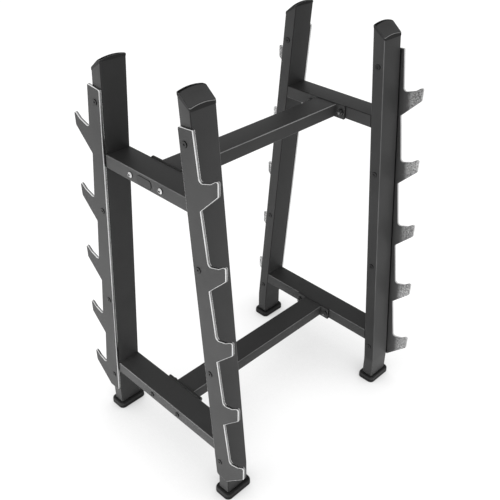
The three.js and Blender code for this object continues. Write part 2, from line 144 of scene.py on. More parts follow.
def rounded(corners, step=ARC_STEP):
    """Corners (x, y, r) of a closed outline, each made round, and how far each point is round its corner."""
    points, turn_of = [], []
    for i, (x, y, r) in enumerate(corners):
        at = Vector((x, y))
        back = Vector(corners[i - 1][:2]) - at
        ahead = Vector(corners[(i + 1) % len(corners)][:2]) - at
        back.normalize()
        ahead.normalize()
        opening = math.acos(max(-1.0, min(1.0, back.dot(ahead))))
        centre = at + (back + ahead).normalized() * (r / math.sin(opening / 2))
        first = at + back * (r / math.tan(opening / 2)) - centre
        last = at + ahead * (r / math.tan(opening / 2)) - centre
        start = math.atan2(first.y, first.x)
        turn = math.atan2(first.x * last.y - first.y * last.x, first.dot(last))
        steps = max(2, round(abs(math.degrees(turn)) / step))
        for k in range(steps + 1):
            a = start + turn * k / steps
            points.append(centre + Vector((math.cos(a), math.sin(a))) * r)
            turn_of.append(math.sin(math.pi * k / steps) ** 2)
    return points, turn_of


def rectangle(w, h, r, step=ARC_STEP):
    return rounded([(-w / 2, -h / 2, r), (w / 2, -h / 2, r), (w / 2, h / 2, r), (-w / 2, h / 2, r)], step)


def inset(points, d):
    """The outline drawn in by d along its own normals."""
    if not d:
        return points
    drawn_in = []
    count = len(points)
    area = sum(points[i - 1].x * points[i].y - points[i].x * points[i - 1].y for i in range(count))
    inwards = 1.0 if area > 0 else -1.0
    for i, p in enumerate(points):
        before = (p - points[i - 1]).normalized()
        after = (points[(i + 1) % count] - p).normalized()
        normal = Vector((-before.y, before.x)) * inwards
        both = normal + Vector((-after.y, after.x)) * inwards
        drawn_in.append(p + both * (d / max(MITRE_SHARE, both.dot(normal))))
    return drawn_in


def quarter(steps):
    """Angles from 0 to 90 degrees, with both ends."""
    return [math.radians(90) * k / steps for k in range(steps + 1)]


def soft_edge(border, bevel):
    """Steps (inset, depth) from the border of a face to its side, round a soft edge."""
    return [(border, 0.0), (bevel, 0.0), (bevel * SOFT_SHARE, bevel * SOFT_SHARE), (0.0, bevel)]


# Meshes and pieces

def build(name, rings, wear_and_painted_light, slots=None, sharp=35.0, loop=False):
    """A closed skin through rings of points, capped at both ends, or a loop whose last ring meets the first.

    The third argument, called with (j, i), gives the mark at point i of ring j: wear and painted highlight
    above zero, painted shade below. slots(j) is the material of the faces after ring j, and -1 stands for the
    first cap.
    """
    mesh = bmesh.new()
    layer = mesh.verts.layers.float.new("wear_and_painted_light")
    rows = []
    for j, ring in enumerate(rings):
        rows.append([mesh.verts.new(Vector(p) * MM) for p in ring])
        for i, v in enumerate(rows[-1]):
            v[layer] = wear_and_painted_light(j, i)
    count = len(rows)
    for j in range(count if loop else count - 1):
        row, after = rows[j], rows[(j + 1) % count]
        for i in range(len(row)):
            k = (i + 1) % len(row)
            face = mesh.faces.new((row[i], row[k], after[k], after[i]))
            face.material_index = slots(j) if slots else 0
    if not loop:
        for j, row in ((-1, rows[0]), (count, rows[-1])):
            face = mesh.faces.new(row)
            face.material_index = slots(j) if slots else 0
    bmesh.ops.remove_doubles(mesh, verts=mesh.verts, dist=SAME_POINT)
    bmesh.ops.recalc_face_normals(mesh, faces=mesh.faces)
    skin = bpy.data.meshes.new(name)
    mesh.to_mesh(skin)
    mesh.free()
    skin.polygons.foreach_set("use_smooth", [True] * len(skin.polygons))
    skin.set_sharp_from_angle(angle=math.radians(sharp))
    return skin


def place(name, skin, node, materials, matrix=Matrix()):
    """Put a skin in the scene as one piece. A mesh that serves several pieces gets its materials once."""
    if not skin.materials:
        for m in materials:
            skin.materials.append(m)
    piece = bpy.data.objects.new(name, skin)
    scene.collection.objects.link(piece)
    piece.matrix_world = matrix
    bpy.context.view_layer.update()
    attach(piece, "root")
    if node:
        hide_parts(node)


def move(x, y, z, turn=0.0, roll=0.0):
    return (
        Matrix.Translation(Vector((x, y, z)) * MM)
        @ Matrix.Rotation(turn, 4, "Z")
        @ Matrix.Rotation(roll, 4, "X")
    )


# Nodes of materials and world

def empty_tree(owner):
    owner.use_nodes = True
    owner.node_tree.nodes.clear()
    return owner.node_tree


def grey(level):
    return (level, level, level, 1)


def add_node(tree, kind, inputs=None, **settings):
    """A new node. inputs gives a value or another node's output for each input that is set."""
    made = tree.nodes.new("ShaderNode" + kind)
    for key, value in settings.items():
        setattr(made, key, value)
    for key, value in (inputs or {}).items():
        if isinstance(value, bpy.types.NodeSocket):
            tree.links.new(value, made.inputs[key])
        else:
            made.inputs[key].default_value = value
    return made


def maths(tree, operation, *values, clamp=False):
    made = add_node(tree, "Math", dict(enumerate(values)), operation=operation, use_clamp=clamp)
    return made.outputs[0]


def mapped(tree, value, low, high, to_low=0.0, to_high=1.0):
    ranges = {"From Min": low, "From Max": high, "To Min": to_low, "To Max": to_high}
    return add_node(tree, "MapRange", {"Value": value, **ranges}).outputs["Result"]


def mixed(tree, factor, first, second):
    """Two colours mixed. They are inputs 6 and 7 of the node, and output 2 is the mixed one."""
    return add_node(tree, "Mix", {0: factor, 6: first, 7: second}, data_type="RGBA").outputs[2]


def ramp(tree, value, stops, interpolation="LINEAR"):
    """A ramp of greys through stops (position, level)."""
    made = add_node(tree, "ValToRGB", {"Fac": value})
    made.color_ramp.interpolation = interpolation
    elements = made.color_ramp.elements
    while len(elements) < len(stops):
        elements.new(1.0)
    for k, (position, level) in enumerate(stops):
        elements[k].position = position
        elements[k].color = grey(level)
    return made.outputs["Color"]


# Materials, all of them greys

GRAIN_DEPTH, GRAIN_DETAIL, GRAIN_ROUGH = 0.0004, 3.0, 0.6
BROAD_SCALE, BROAD_DETAIL = 7.0, 4.0
DARK_AT, LIGHT_AT = 0.35, 0.65
# the near black of painted shade: in gaps, creases and sockets, at joints and on sides lit less
PAINTED_SHADE_GREY = 0.004
# noise from and to which an edge mark grows, and the share of the mark that it starts with
PATCHY_FROM, PATCHY_TO, PATCHY_SHARE = 0.3, 0.75, 0.35
# the hooks of the right plates: their coat, painted lighter than the coat of the outer faces to lift the
# shade beside the upright, how bare each is from the lowest one up, and their speckle
HOOK_COAT_LIFTED = 0.078
HOOK_BARENESS = (1.0, 0.9, 0.72, 1.0, 0.66)
SPECKLE_FROM, SPECKLE_TO, SPECKLE_LEAST, SPECKLE_MOST = 0.4, 0.6, 0.3, 1.35
# from the inner edge of an upright outwards; and from its outer corner outwards, where the painted contact
# shadow beside the upright is full and where it has gone
COAT_ENDS, STEEL_STARTS, RAGGED = 0.092, 0.102, 0.07
SHADOW_FULL_BESIDE, SHADOW_GONE_BESIDE = 0.002, 0.006


def edge_wear_and_painted_light(tree, colour, broad, level, most):
    """The colour turned to a grey level as wear and painted highlight, and near black as painted shade below
    zero.
    """
    wear_and_painted_light = add_node(tree, "Attribute", attribute_type="GEOMETRY", attribute_name="wear_and_painted_light").outputs["Fac"]
    patchy = mapped(tree, broad, PATCHY_FROM, PATCHY_TO, PATCHY_SHARE * most, most)
    marked = mixed(tree, maths(tree, "MULTIPLY", wear_and_painted_light, patchy), colour, grey(level))
    return mixed(tree, maths(tree, "MULTIPLY", wear_and_painted_light, -1.0), marked, grey(PAINTED_SHADE_GREY))


def bare_hooks(tree, steel, coord, fine):
    """Steel coated near the upright and bare towards the hook tips, with painted contact shadow by the
    upright, and how bare it is.
    """
    at = add_node(tree, "SeparateXYZ", {0: coord})
    aside = maths(tree, "ABSOLUTE", at.outputs["Y"])
    reach = maths(tree, "MULTIPLY_ADD", at.outputs["Z"], math.tan(LEAN), aside)
    ragged = maths(tree, "MULTIPLY_ADD", fine, -RAGGED, reach)
    edge = inner_edge(0) * MM
    start = edge - RAGGED / 2
    marked = mapped(tree, ragged, start + COAT_ENDS, start + STEEL_STARTS)
    high = mapped(tree, at.outputs["Z"], (LOW_HOOK - PITCH / 2) * MM, (TOP_HOOK + PITCH / 2) * MM)
    each = ramp(tree, high, [(k / HOOKS, share) for k, share in enumerate(HOOK_BARENESS)], "CONSTANT")
    speckle = mapped(tree, fine, SPECKLE_FROM, SPECKLE_TO, SPECKLE_LEAST, SPECKLE_MOST)
    bare = maths(tree, "MULTIPLY", maths(tree, "MULTIPLY", marked, each), speckle, clamp=True)
    finish = mixed(tree, bare, grey(HOOK_COAT_LIFTED), steel)
    corner = edge + TUBE_D * MM / math.cos(LEAN)
    # painted contact shadow where the plate meets the upright
    contact_shadow = mapped(tree, reach, corner + SHADOW_FULL_BESIDE, corner + SHADOW_GONE_BESIDE)
    return mixed(tree, contact_shadow, grey(PAINTED_SHADE_GREY), finish), bare


def material(name, level, rough, grain, bump, metal=0.0, spec=0.5, vary=0.12, rough_vary=0.08,
             edge_mark_level=None, most_edge_mark=0.0, streak=None, on_hooks=False):
    """A grey whose level and roughness vary a little, with a fine grain that a streak draws out."""
    made = bpy.data.materials.new(name)
    tree = empty_tree(made)
    shader = add_node(tree, "BsdfPrincipled", {"Metallic": metal, "Specular IOR Level": spec})
    add_node(tree, "OutputMaterial", {0: shader.outputs[0]})
    coord = add_node(tree, "TexCoord").outputs["Object"]
    drawn_out = add_node(tree, "Mapping", {"Vector": coord, "Scale": streak}).outputs[0] if streak else coord
    grains = {"Vector": drawn_out, "Scale": grain, "Detail": GRAIN_DETAIL, "Roughness": GRAIN_ROUGH}
    patches = {"Vector": coord, "Scale": BROAD_SCALE, "Detail": BROAD_DETAIL}
    fine = add_node(tree, "TexNoise", grains).outputs["Fac"]
    broad = add_node(tree, "TexNoise", patches).outputs["Fac"]
    mean = maths(tree, "MULTIPLY", maths(tree, "ADD", fine, broad), 0.5)
    colour = ramp(tree, mean, [(DARK_AT, level * (1 - vary)), (LIGHT_AT, level * (1 + vary))])
    if edge_mark_level:
        colour = edge_wear_and_painted_light(tree, colour, broad, edge_mark_level, most_edge_mark)
    if on_hooks:
        colour, bare = bare_hooks(tree, colour, coord, fine)
        tree.links.new(maths(tree, "MULTIPLY", bare, metal), shader.inputs["Metallic"])
    tree.links.new(colour, shader.inputs["Base Color"])
    roughness = mapped(tree, mean, 0.0, 1.0, rough - rough_vary, rough + rough_vary)
    tree.links.new(roughness, shader.inputs["Roughness"])
    relief = add_node(tree, "Bump", {"Strength": bump, "Distance": GRAIN_DEPTH, "Height": fine})
    tree.links.new(relief.outputs[0], shader.inputs["Normal"])
    return made


ALONG_EDGE = (0.12, 1.0, 1.0)
# The grey that a material's marked edges turn to is wear and painted highlight on the tubes, caps, feet and
# fasteners, and painted shade round the badge.
COAT = material("charcoal_powder_coat", 0.058, 0.5, 700, 0.12, spec=0.12, edge_mark_level=0.5, most_edge_mark=0.9)
PLATE = material("hook_plate_coat", 0.051, 0.5, 1100, 0.2, spec=0.12, vary=0.16, edge_mark_level=0.4,
                 most_edge_mark=0.7)
CUT_EDGE = material("cut_steel_edge", 0.17, 0.3, 420, 0.3, metal=0.92, vary=0.45, rough_vary=0.1,
                    streak=ALONG_EDGE)
# a lighter copy of the cut edge, painted highlight on the strip beside the plates' faces and on the right
# plates' sides
LIT_CUT_EDGE = material("lit_cut_edge", 0.52, 0.3, 420, 0.3, metal=0.92, vary=0.2, streak=ALONG_EDGE)
# a bright painted highlight line along the bevels of the plates
HIGHLIGHT_LINE = material("painted_highlight_line", 0.92, 0.3, 500, 0.2, metal=1.0)
HOOK_STEEL = material("satin_steel", 0.5, 0.3, 140, 0.4, metal=0.9, vary=0.5, rough_vary=0.1,
                      edge_mark_level=0.43, most_edge_mark=0.1, on_hooks=True)
BLACK = material("black_oxide_steel", 0.026, 0.4, 800, 0.06, metal=0.2, spec=0.3, edge_mark_level=0.3,
                 most_edge_mark=0.5)
ZINC = material("zinc_plate", 0.66, 0.24, 500, 0.1, metal=1.0, vary=0.1, edge_mark_level=0.95, most_edge_mark=1.0)
CAP = material("moulded_cap_plastic", 0.15, 0.5, 1400, 0.25, spec=0.02, edge_mark_level=0.5, most_edge_mark=1.0)
RUBBER = material("foot_rubber", 0.014, 0.6, 500, 0.3, spec=0.12, edge_mark_level=0.06, most_edge_mark=0.6)
# its edge grey is the near black of the painted shade round its outline
BADGE = material("badge_enamel", 0.042, 0.42, 900, 0.05, spec=0.15, edge_mark_level=0.004, most_edge_mark=1.4)


# Painted highlight and painted shade on small pieces

PAINTED_SHADE_FULL, PLAIN = -1.0, 0.0
SCREW_MOUTH_SHADE, SCREW_RING_HIGHLIGHT, BOLT_FACE_HIGHLIGHT = -0.5, 0.25, 0.8
NUT_EDGE_HIGHLIGHT, NUT_DOME_HIGHLIGHT = 1.3, 2.4
# how much painted shade each ring of a slab's soft edge takes, and its strength on the flanges and the badge
SLAB_EDGE_SHADE, FLANGE_EDGE_SHADE, BADGE_OUTLINE_SHADE = (0, 0.6, 1, 0.7, 0.7, 1, 0.6, 0), -1.0, 2.0
WELD_SHADE = -0.4


# Tubes

# wear and painted highlight on the corners of a tube, and painted shade on the inner side of the far upright
# at its foot and above its bend
CORNER_WEAR_AND_HIGHLIGHT, FOOT_SHADE, BEND_SHADE = 0.25, -0.05, -0.33
# painted highlight along some corners of the uprights, painted shade along others below zero
LEG_CORNER_LIGHT_AND_SHADE = {
    "left_front": {(-1, -1): -0.8, (1, -1): 0.4},
    "left_back": {(1, 1): -0.8},
    "right_front": {(-1, -1): 0.5, (1, -1): 0.35},
    "right_back": {(1, 1): -0.8},
}
# the painted shade on the inner side of the left back upright, and the share of the corner marks that the far
# upright keeps below its top
INNER_SHADE, LOW_CORNER_SHARE = -0.2, 0.2
# painted highlight and shade along the corners of crossmembers and spreaders, painted shade on the upper side
# of the lower ones and on the ends where they meet uprights and flanges
CROSS_CORNER_LIGHT_AND_SHADE = {"upper": {(-1, 1): 0.5, (1, 1): -0.8}, "lower": {(-1, 1): 0.5, (1, 1): 0.5}}
CROSS_TOP_SHADE = {"upper": 0.0, "lower": -0.17}
SPREADER_CORNER_HIGHLIGHT = {"upper": {(-1, 1): 2.0}, "lower": {(-1, 1): 0.5}}
SPREADER_TOP_SHADE = {"upper": 0.0, "lower": -0.36}
CROSS_END_SHADE, SPREADER_END_SHADE = -0.9, -0.6


def tube_mesh(name, stations, corner_wear_and_light, ends=0.0, top=0.0, low=1.0, inner=None):
    """A hollow rounded tube through stations, each placing a point (u, v) of the section.

    The third argument gives its corners wear and painted highlight above zero and painted shade below, ends
    the painted shade of the first and last ring, top that of the face towards +v, inner(j) that of the side
    towards
    -u at ring j. low is the share of the corner marks that is left below the last ring.
    """
    outline, turn = rectangle(TUBE_W, TUBE_D, TUBE_R)
    bore = rectangle(TUBE_W - 2 * WALL, TUBE_D - 2 * WALL, TUBE_R - WALL)[0]
    rings = [[station(p.x, p.y) for p in outline] for station in stations]
    rings += [[station(p.x, p.y) for p in bore] for station in reversed(stations)]
    last = len(stations) - 1

    def wear_and_painted_light(j, i):
        if j > last:
            return 0.0
        if ends and j in (0, last):
            return ends
        p = outline[i]
        shade = top if p.y > HALF_D - HAIR else 0.0
        if inner and p.x < HAIR - HALF_W:
            shade += inner(j)
        share = low if j < last else 1.0
        corner = (math.copysign(1, p.x), math.copysign(1, p.y))
        return shade + share * turn[i] * corner_wear_and_light.get(corner, CORNER_WEAR_AND_HIGHLIGHT)

    return build(name, rings, wear_and_painted_light, sharp=32, loop=True)


def leg_stations():
    """The sections of an upright: its end in the foot, those along its bend, and the cut at its top."""
    foot = -leg_centre(0)
    top = -leg_centre(RISE)
    start = BEND - BEND_R * math.tan(LEAN / 2)

    def bent(t):
        y = foot + BEND_R * (1 - math.cos(t))
        z = start + BEND_R * math.sin(t)
        return lambda x, v: (x, y + v * math.cos(t), z - v * math.sin(t))

    def cut(x, v):
        up = v * CUT_SLOPE
        y = top + v * math.cos(LEAN) + up * math.sin(LEAN)
        return (x, y, RISE - v * math.sin(LEAN) + up * math.cos(LEAN))

    in_foot = [lambda x, v: (x, foot + v, GAP - POCKET)]
    return in_foot + [bent(LEAN * k / BEND_STEPS) for k in range(BEND_STEPS + 1)] + [cut]


def shaded_side(j):
    """Painted shade on the inner side of the far upright: deep above its bend, less so at its foot and its
    top.
    """
    if j > BEND_STEPS + 1:
        return 0.0
    return FOOT_SHADE + BEND_SHADE * max(0, j - 1) / BEND_STEPS


def leg_mesh(frame_end):
    far = frame_end == "right_front"
    return tube_mesh(f"{frame_end}_leg_skin", leg_stations(), LEG_CORNER_LIGHT_AND_SHADE[frame_end],
                     top=INNER_SHADE if frame_end == "left_back" else 0.0, low=LOW_CORNER_SHARE if far else 1.0,
                     inner=shaded_side if far else None)


def crossmember_mesh(tier, under):
    mid = under + HALF_D
    gap = GAP / math.cos(LEAN)

    def end(toward, short=0.0):
        return lambda x, h: (x, toward * (inner_edge(mid + h) - gap - short), mid + h)

    stations = [end(1), end(1, CROSS_SHADE), end(-1, CROSS_SHADE), end(-1)]
    return tube_mesh(f"{tier}_crossmember_skin", stations, CROSS_CORNER_LIGHT_AND_SHADE[tier],
                     ends=CROSS_END_SHADE, top=CROSS_TOP_SHADE[tier])


def spreader_mesh(tier):
    half = SPAN / 2 - HALF_W - NUT_SEAT

    def across(x):
        return lambda u, v: (x, u, v)

    stations = [across(-half), across(-half + SPREADER_SHADE), across(half - SPREADER_SHADE), across(half)]
    return tube_mesh(f"{tier}_spreader_skin", stations, SPREADER_CORNER_HIGHLIGHT[tier],
                     ends=SPREADER_END_SHADE, top=SPREADER_TOP_SHADE[tier])


# Caps and feet

# Painted shade on the shelf and the band, and painted highlight and shade along the rim. The band has one
# level towards the outside of the frame and one elsewhere, the rim one towards the outside, one towards the
# inside and one along its sides.
SHELF_SHADE = -1.0
BAND_SHADES = (-0.76, -0.72)
RIM_HIGHLIGHTS_AND_SHADE = (1.2, 0.5, -0.4)
NEAR_FACE = 3.0


def cap_roof(x, v):
    """Height of the arched roof, which slopes up to its crest and runs level behind it."""
    arch = math.sqrt(ARCH_R ** 2 - x ** 2) - ARCH_R + CAP_RISE
    slope = (v - CREST_AT) * ROOF_SLOPE
    shelf = (v - CREST_AT) * math.tan(LEAN)
    low = min(slope, shelf)
    blend = math.exp(-(slope - low) / CREST_SOFT) + math.exp(-(shelf - low) / CREST_SOFT)
    return CREST + arch + low - CREST_SOFT * math.log(blend)


def dense_ring(w, d, r):
    """A rounded rectangle with extra points along its sides, so that the roof can arch."""
    points = rectangle(w, d, r)[0]
    in_corner = len(points) // 4
    dense = []
    for i, p in enumerate(points):
        parts = ROOF_PARTS if i % in_corner == in_corner - 1 else 1
        dense += [p.lerp(points[(i + 1) % len(points)], k / parts) for k in range(parts)]
    return dense


def cap_ring(ins):
    r = min(max(CAP_MIN_R, CAP_R - ins), CAP_D / 2 - ins - HAIR)
    return dense_ring(CAP_W - 2 * ins, CAP_D - 2 * ins, r)


def along_cut(points, rise):
    return [(p.x, p.y, p.y * CUT_SLOPE + rise) for p in points]


def cap_plug():
    """Rings of the hollow plug inside the tube."""
    bore = WALL + GAP
    in_hollow = bore + PLUG_WALL
    skirt = dense_ring(TUBE_W - 2 * bore, TUBE_D - 2 * bore, PLUG_R)
    hollow = dense_ring(TUBE_W - 2 * in_hollow, TUBE_D - 2 * in_hollow, PLUG_HOLLOW_R)
    return [
        along_cut(hollow, CAP_SEAT + PLUG_ROOF),
        along_cut(hollow, -PLUG_DEPTH),
        along_cut(skirt, -PLUG_DEPTH),
        along_cut(skirt, CAP_SEAT),
    ]


def cap_mesh():
    """Drawn along the axis of the leg, Y towards its inner side."""
    plug = cap_plug()
    under = [along_cut(cap_ring(CAP_UNDER), CAP_SEAT), along_cut(cap_ring(0), CAP_SEAT + CAP_UNDER)]
    rim, rim_marks = [], []
    for t in quarter(4):
        points = cap_ring(CAP_SOFT * (1 - math.cos(t)))
        rim.append([(p.x, p.y, cap_roof(p.x, p.y) - CAP_SOFT * (1 - math.sin(t))) for p in points])
        rim_marks.append(math.sin(2 * t))
    roof = [[(p.x, p.y, cap_roof(p.x, p.y)) for p in cap_ring(ins)] for ins in ROOF_RINGS]
    rings = plug + under + rim + roof
    marks = [0.0] * len(plug + under) + rim_marks
    outside, inside = NEAR_FACE - CAP_D / 2, CAP_D / 2 - NEAR_FACE

    def wear_and_painted_light(j, i):
        v = rings[j][i][1]
        if j < len(plug):
            return 0.0
        if j >= len(marks):
            return SHELF_SHADE if v > CREST_AT + EASE else 0.0
        if marks[j] < 0.5:
            return BAND_SHADES[0] if v < outside else BAND_SHADES[1]
        return marks[j] * (RIM_HIGHLIGHTS_AND_SHADE[0] if v < outside else RIM_HIGHLIGHTS_AND_SHADE[1] if v > inside else RIM_HIGHLIGHTS_AND_SHADE[2])

    skin = build("cap_skin", rings, wear_and_painted_light, sharp=50)
    skin.transform(Matrix.Rotation(-LEAN, 4, "X"))
    return skin


def foot_mesh():
    w, d = TUBE_W + 2 * FOOT_OVER, TUBE_D + 2 * FOOT_OVER

    def outside(ins, z):
        points = rectangle(w - 2 * ins, d - 2 * ins, FOOT_R - ins, FINE_ARC_STEP)[0]
        return [(p.x, p.y, z) for p in points]

    def pocket(over, z):
        points = rectangle(TUBE_W + 2 * over, TUBE_D + 2 * over, TUBE_R + over, FINE_ARC_STEP)[0]
        return [(p.x, p.y, z) for p in points]

    draw_in = FOOT_OVER - FOOT_LEDGE
    sole, shoulder = [], []
    for t in quarter(4):
        sole.append(outside(FOOT_SOLE * (1 - math.sin(t)), FOOT_SOLE * (1 - math.cos(t)) - FOOT_H))
    for t in quarter(8):
        shoulder.append(outside(draw_in * (1 - math.cos(t)), FOOT_SHOULDER * (math.sin(t) - 1)))
    rings = sole + shoulder
    rings.append(pocket(POCKET_CLEAR + POCKET_BEVEL, 0.0))
    rings.append(pocket(POCKET_CLEAR, -POCKET_BEVEL))
    rings.append(pocket(POCKET_CLEAR, -POCKET))
    # the part of the shoulder next to the side is painted lighter, a painted highlight round the foot
    marked = range(len(sole) + 1, len(sole) + 1 + len(shoulder) // 2)
    return build("foot_skin", rings, lambda j, i: 1.0 if j in marked else 0.0, sharp=40)


# Hook plates

# painted shade lines just inside the borders of a plate's outer and inner faces
OUTER_SHADE_LINE, INNER_SHADE_LINE = -1.5, -0.4
# the slots of a plate's materials
FACE, SIDE, INNER, CORNER, LIT_STRIP = range(5)


def plate_outline():
    top = TOP_HOOK + PLATE_ABOVE
    low = LOW_HOOK - PLATE_BELOW
    corners = [
        (inner_edge(top), top, HEAD_INNER_R),
        (inner_edge(top) + PLATE_HEAD * math.cos(LEAN), top + PLATE_HEAD * math.sin(LEAN), HEAD_OUTER_R),
    ]
    for k in reversed(range(HOOKS)):
        z = LOW_HOOK + k * PITCH
        edge = inner_edge(z)
        root = LOW_ROOT - ROOT_STEP * k
        corners += [
            (edge + root, z + KINK_RISE - (KINK - root) * math.tan(SEAT_SLOPE), ROOT_R),
            (edge + KINK, z + KINK_RISE, KINK_R),
            (edge + HORN_IN, z + HORN_IN_RISE, HORN_IN_R),
            (edge + HORN_OUT, z + HORN_OUT_RISE, HORN_OUT_R),
            (edge + NOSE, z - THROAT_DROP + NOSE - root, NOSE_R),
        ]
        if k:
            corners.append((edge + root, z - THROAT_DROP, THROAT_R))
        else:
            corners.append((edge + root - (PLATE_BELOW - THROAT_DROP), low, THROAT_R))
    corners.append((inner_edge(low), low, HEEL_R))
    return rounded(corners, FINE_ARC_STEP)[0]


def plate_mesh(side, end):
    """Rings run from the outer face, away from the rack, to the inner face."""
    sx, sy = SIDES[side], ENDS[end]
    base = plate_outline()
    face_x = SPAN / 2 + GAP + PLATE_T
    steps = soft_edge(PLATE_BORDER, PLATE_BEVEL)
    # beside the outer bevel the edge has a strip that takes the lit copy of the cut edge, a painted highlight
    profile = steps + [(0.0, LIT_STRIP_DEPTH)] + [(ins, PLATE_T - depth) for ins, depth in reversed(steps)]
    rings = []
    for ins, depth in profile:
        rings.append([(sx * (face_x - depth), sy * p.x, p.y) for p in inset(base, ins)])
    inner_bevel = len(profile) - 2
    beside_face, beside_inner = (LIT_STRIP, CORNER) if side == "left" else (SIDE, INNER)

    def wear_and_painted_light(j, i):
        """A painted shade line along the upright stretches of the outer edge, a fainter one round the inner
        edge.
        """
        if j not in (1, inner_bevel):
            return PLAIN
        along = (base[(i + 1) % len(base)] - base[i - 1]).normalized()
        return OUTER_SHADE_LINE * along.y ** 4 if j == 1 else INNER_SHADE_LINE

    def slots(j):
        if j <= 0:
            return FACE
        bands = (CORNER, CORNER, beside_face, SIDE, beside_inner, beside_inner, INNER)
        return bands[min(j, len(bands)) - 1]

    return build(f"{side}_{end}_plate_skin", rings, wear_and_painted_light, slots, sharp=25)


# Fasteners, drawn along X

def circle(x, r):
    turns = [2 * math.pi * i / ROUND for i in range(ROUND)]
    return [(x, r * math.cos(a), r * math.sin(a)) for a in turns]


def hexagon(x, flats, cap=math.inf):
    """A hexagon with as many points as a circle, its corners cut back to the radius cap."""
    points = []
    for i in range(ROUND):
        a = 2 * math.pi * i / ROUND
        local = (a % (math.pi / 3)) - math.pi / 6
        r = min(flats / 2 / math.cos(local), cap)
        points.append((x, r * math.cos(a), r * math.sin(a)))
    return points


def socket(face, flats, direction):
    """Rings of a hexagon socket, from its floor to its mouth; direction points into the material."""
    return [
        circle(face + direction * (SOCKET_DEPTH + SOCKET_CONE), SOCKET_POINT),
        hexagon(face + direction * SOCKET_DEPTH, flats),
        hexagon(face + direction * SOCKET_MOUTH, flats),
        hexagon(face, flats + 2 * SOCKET_MOUTH),
    ]


def screw_head(seat, direction):
    """Rings of a flat round head with a soft rim and a socket, to its seat; direction points to the seat."""
    face = seat - direction * SCREW_HEAD_H
    rings = socket(face, SCREW_SOCKET, direction)
    rings.append(circle(face, SCREW_HEAD_R - SCREW_RING))
    for t in quarter(3):
        rings.append(circle(face + direction * SCREW_RIM * (1 - math.cos(t)),
                            SCREW_HEAD_R - SCREW_RIM * (1 - math.sin(t))))
    rings.append(circle(seat - direction * EASE, SCREW_HEAD_R))
    rings.append(circle(seat, SCREW_HEAD_R - EASE))
    return rings


def fixing_mesh():
    outer = -(HALF_W + 2 * GAP + PLATE_T)
    inner = HALF_W + GAP
    head = screw_head(outer, 1)
    shank = [circle(outer, SCREW_R), circle(inner, SCREW_R)]
    rings = head + shank + screw_head(inner, -1)[::-1]
    # painted shade in the socket, round the rim of each head and along the shank, a painted highlight on the
    # ring of the face
    on_head = [PAINTED_SHADE_FULL] * 3 + [SCREW_MOUTH_SHADE, SCREW_RING_HIGHLIGHT] + [PAINTED_SHADE_FULL] * (len(head) - 5)
    marks = on_head + [PAINTED_SHADE_FULL] * len(shank) + on_head[::-1]
    return build("plate_fixing_skin", rings, lambda j, i: marks[j])


def bolt_mesh():
    seat = -(HALF_W + GAP)
    top = seat - BOLT_HEAD_H
    tip = NUT_SEAT + NUT_DEPTH - GAP
    face = socket(top, BOLT_SOCKET, 1) + [circle(top, BOLT_FACE_R)]
    dome = []
    for t in map(math.radians, BOLT_DOME_DEGREES):
        rise = BOLT_RIM + (BOLT_HEAD_H - BOLT_RIM) * math.sin(t)
        dome.append(circle(seat - rise, BOLT_HEAD_R * math.cos(t)))
    shank = [circle(seat - EASE, BOLT_HEAD_R), circle(seat, BOLT_HEAD_R - EASE), circle(seat, BOLT_R)]
    shank += [circle(tip - BOLT_TIP, BOLT_R), circle(tip, BOLT_R - BOLT_TIP)]
    # painted shade in the socket, round the foot of the head and along the shank, a painted highlight on the
    # face round the socket
    marks = [PAINTED_SHADE_FULL] * 3 + [BOLT_FACE_HIGHLIGHT] * 2 + [PLAIN] * (len(dome) - 1) + [PAINTED_SHADE_FULL] * (len(shank) + 1)
    return build("bolt_skin", face + dome + shank, lambda j, i: marks[j])


def nut_mesh():
    """A domed cap nut on its washer, from the bottom of its bore to the top of its dome."""
    bore_r = BOLT_R + EASE
    bore = [circle(NUT_DEPTH, BORE_POINT), circle(NUT_DEPTH, bore_r), circle(0, bore_r)]
    washer = [
        circle(0, WASHER_R - WASHER_EASE),
        circle(WASHER_EASE, WASHER_R),
        circle(WASHER_T - WASHER_EASE, WASHER_R),
        circle(WASHER_T, WASHER_R - WASHER_EASE),
    ]
    sides = [
        circle(WASHER_T, NUT_FOOT_R),
        hexagon(WASHER_T + NUT_FOOT_EASE, NUT_FLATS, NUT_FOOT_CAP),
        hexagon(WASHER_T + NUT_FOOT_H, NUT_FLATS),
        hexagon(NUT_H - NUT_TOP_H, NUT_FLATS),
        hexagon(NUT_H - NUT_TOP_EASE, NUT_FLATS, NUT_TOP_CAP),
        circle(NUT_H, NUT_TOP_R),
        circle(NUT_H, NUT_DOME_R),
    ]
    dome = [circle(NUT_H + NUT_DOME_H * math.sin(t), NUT_DOME_R * math.cos(t)) for t in quarter(8)[1:-1]]
    dome.append(circle(NUT_H + NUT_DOME_H, BORE_POINT))
    # painted highlight on the edges of the hexagon and the top of the dome, painted shade on the washer
    on_sides = [PLAIN, PLAIN, NUT_EDGE_HIGHLIGHT, PLAIN, NUT_EDGE_HIGHLIGHT, NUT_EDGE_HIGHLIGHT, PLAIN]
    on_dome = [PLAIN] * 4 + [NUT_DOME_HIGHLIGHT] * 4
    marks = [PLAIN] * len(bore) + [PAINTED_SHADE_FULL] * len(washer) + on_sides + on_dome
    return build("cap_nut_skin", bore + washer + sides + dome, lambda j, i: marks[j])


# Flanges, welds and badge

def slab_mesh(name, outline, x0, thick, bevel, border, shade_level):
    """A flat plate across X with soft edges, darkened along them as painted shade."""
    steps = soft_edge(border, bevel)
    rings = []
    for ins, depth in steps + [(ins, thick - depth) for ins, depth in reversed(steps)]:
        rings.append([(x0 + depth, p.x, p.y) for p in inset(outline, ins)])
    return build(name, rings, lambda j, i: SLAB_EDGE_SHADE[j] * shade_level, sharp=25)


